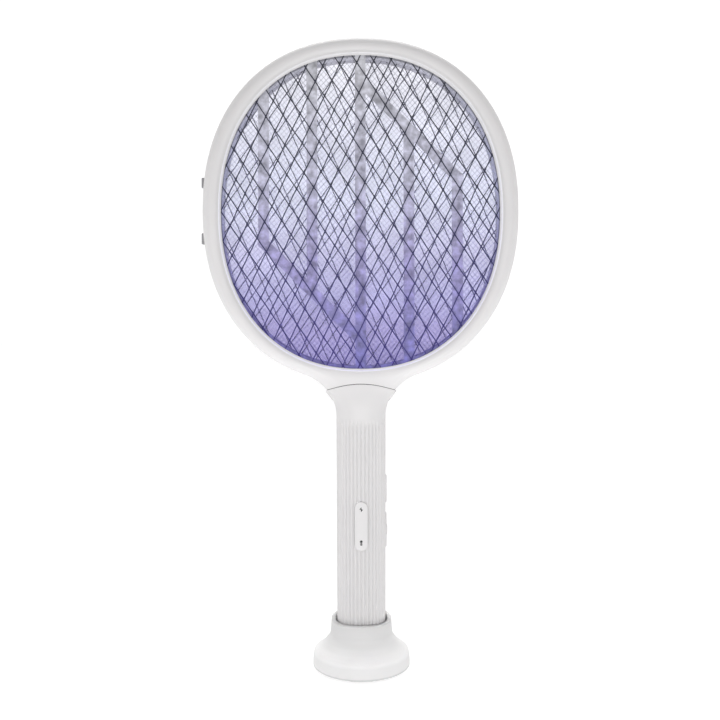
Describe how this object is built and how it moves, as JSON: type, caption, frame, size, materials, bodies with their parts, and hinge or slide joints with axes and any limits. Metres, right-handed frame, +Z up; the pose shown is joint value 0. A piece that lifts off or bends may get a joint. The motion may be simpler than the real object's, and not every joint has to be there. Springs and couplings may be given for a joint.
{
  "type": "electric fly swatter",
  "caption": "Battery racket-shaped electric insect swatter with a rounded net head, ribbed grip, push buttons and slide switch, standing upright in a weighted round foot with a collar.",
  "frame": {"origin": "centre of the foot's underside, on the surface that it stands on", "axes": "+Z up along the handle, +X to the right seen from the front, front faces -Y"},
  "size_m": [0.2226, 0.0676, 0.4393],
  "materials": {
    "shell_white": "fine satin moulded plastic",
    "stand_white": "fine satin moulded plastic",
    "rib_grey": "matte moulded plastic",
    "net_metal": "dark coated expanded metal",
    "grid_metal": "fine bright wire",
    "dark_plastic": "matte",
    "rubber": "matte rubber",
    "steel": "plain steel",
    "board_green": "solder mask",
    "cell_wrap": "shrink wrap",
    "coil_yellow": "insulating tape",
    "chip_black": "moulded package",
    "led_lens": "clear violet lens",
    "diffuser": "frosted",
    "lead_red": "insulation",
    "lead_black": "insulation"
  },
  "bodies": {
    "stand": {"stand_shell": "stand_white", "stand_base_plate": "stand_white", "foot_pad": "rubber", "stand_weight": "steel", "stand_screw_1": "steel", "stand_screw_2": "steel", "stand_screw_3": "steel"},
    "racket": {"head_front_frame": "shell_white", "head_rear_frame": "shell_white", "front_guard_net": "net_metal", "rear_guard_net": "net_metal", "high_voltage_net": "grid_metal", "support_lattice": "rib_grey", "front_spacer_ring": "rib_grey", "rear_spacer_ring": "rib_grey", "light_board": "board_green", "light_lamp_1": "led_lens", "light_lamp_2": "led_lens", "light_lamp_3": "led_lens", "light_diffuser": "diffuser", "head_latch_upper": "dark_plastic", "head_latch_lower": "dark_plastic", "handle_front_shell": "shell_white", "handle_rear_shell": "shell_white", "handle_end_cap": "shell_white", "handle_screw_1": "steel", "handle_screw_2": "steel", "zap_tact_switch": "dark_plastic", "side_tact_switch": "dark_plastic", "mode_switch_bezel": "shell_white", "mode_switch_body": "steel", "main_board": "board_green", "transformer": "coil_yellow", "controller_chip": "chip_black", "high_voltage_capacitor": "coil_yellow", "rectifier_diode_1": "chip_black", "rectifier_diode_2": "chip_black", "rectifier_diode_3": "chip_black", "charge_socket": "steel", "charge_board": "board_green", "battery_cell": "cell_wrap", "battery_cradle": "dark_plastic", "battery_contact_plus": "steel", "battery_contact_minus": "steel", "lead_positive": "lead_red", "lead_negative": "lead_black", "frame_screw_1": "steel", "frame_screw_2": "steel", "frame_screw_3": "steel", "frame_screw_4": "steel", "frame_screw_5": "steel", "frame_screw_6": "steel"},
    "zap_button": {"zap_button": "shell_white", "bolt_window": "diffuser", "lamp_window": "diffuser"},
    "side_button": {"side_button": "shell_white"},
    "mode_knob": {"mode_switch_knob": "shell_white"}
  },
  "joints": [
    {"name": "racket_lift", "type": "slide", "parent": "stand", "child": "racket", "axis": [0, 0, 1], "range_m": [0, 0.06]},
    {"name": "zap_button_press", "type": "slide", "parent": "racket", "child": "zap_button", "axis": [0, 1, 0], "range_m": [0, 0.001], "stiffness_N_per_m": 1200},
    {"name": "side_button_press", "type": "slide", "parent": "racket", "child": "side_button", "axis": [-1, 0, 0], "range_m": [0, 0.001], "stiffness_N_per_m": 1200},
    {"name": "mode_switch_slide", "type": "slide", "parent": "racket", "child": "mode_knob", "axis": [0, 0, 1], "range_m": [-0.003, 0.003]}
  ]
}
